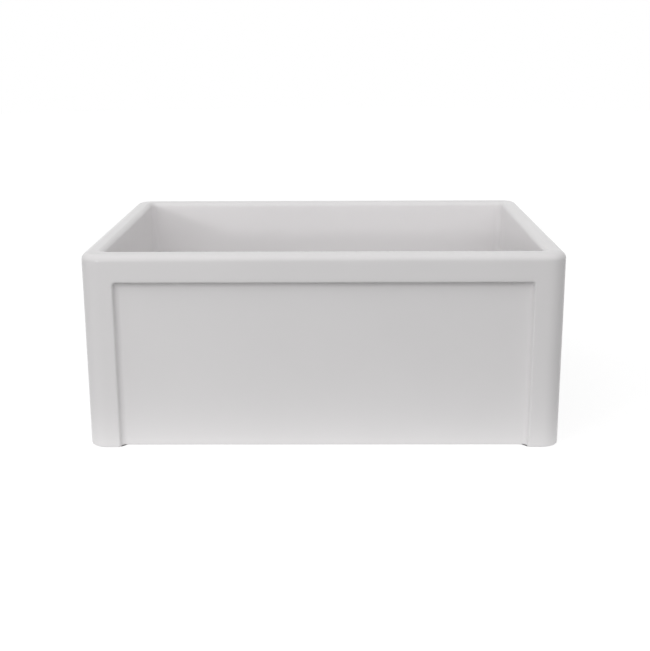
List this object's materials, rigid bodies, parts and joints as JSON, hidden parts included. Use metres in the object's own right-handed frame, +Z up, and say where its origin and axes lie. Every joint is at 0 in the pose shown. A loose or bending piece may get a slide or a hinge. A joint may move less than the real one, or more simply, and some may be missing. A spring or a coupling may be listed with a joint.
{
  "type": "farmhouse apron front sink",
  "caption": "Deep single-bowl fireclay sink with a framed apron front and a basket strainer that lifts out of its drain.",
  "frame": {"origin": "centre of the underside, on the drain's axis; the band that the sink stands on is at z = 0 and the strainer's outlet hangs below it", "axes": "+Z up, -Y out of the framed apron, +X along the sink's width to the right seen from the front"},
  "size_m": [0.6096, 0.4572, 0.3025],
  "materials": {
    "fireclay_glaze": "gloss",
    "putty": "matte",
    "strainer_steel": "satin",
    "black_rubber": "matte",
    "friction_paper": "matte",
    "cast_zinc": "satin",
    "washer_plastic": "satin",
    "coupling_metal": "satin",
    "basket_steel": "satin",
    "post_steel": "polished",
    "spring_steel": "satin"
  },
  "bodies": {
    "root": {"sink_body": "fireclay_glaze", "putty_ring": "putty", "strainer_body": "strainer_steel", "rubber_gasket": "black_rubber", "friction_washer": "friction_paper", "locknut": "cast_zinc", "tailpiece_washer": "washer_plastic", "coupling_nut": "coupling_metal"},
    "basket": {"basket_cup": "basket_steel", "stopper_seal": "black_rubber", "seal_plate": "basket_steel", "centre_post": "post_steel", "lift_knob": "post_steel", "detent_clip": "spring_steel"}
  },
  "joints": [
    {"name": "basket_lift", "type": "slide", "parent": "root", "child": "basket", "axis": [0, 0, 1], "range_m": [0, 0.31]}
  ]
}
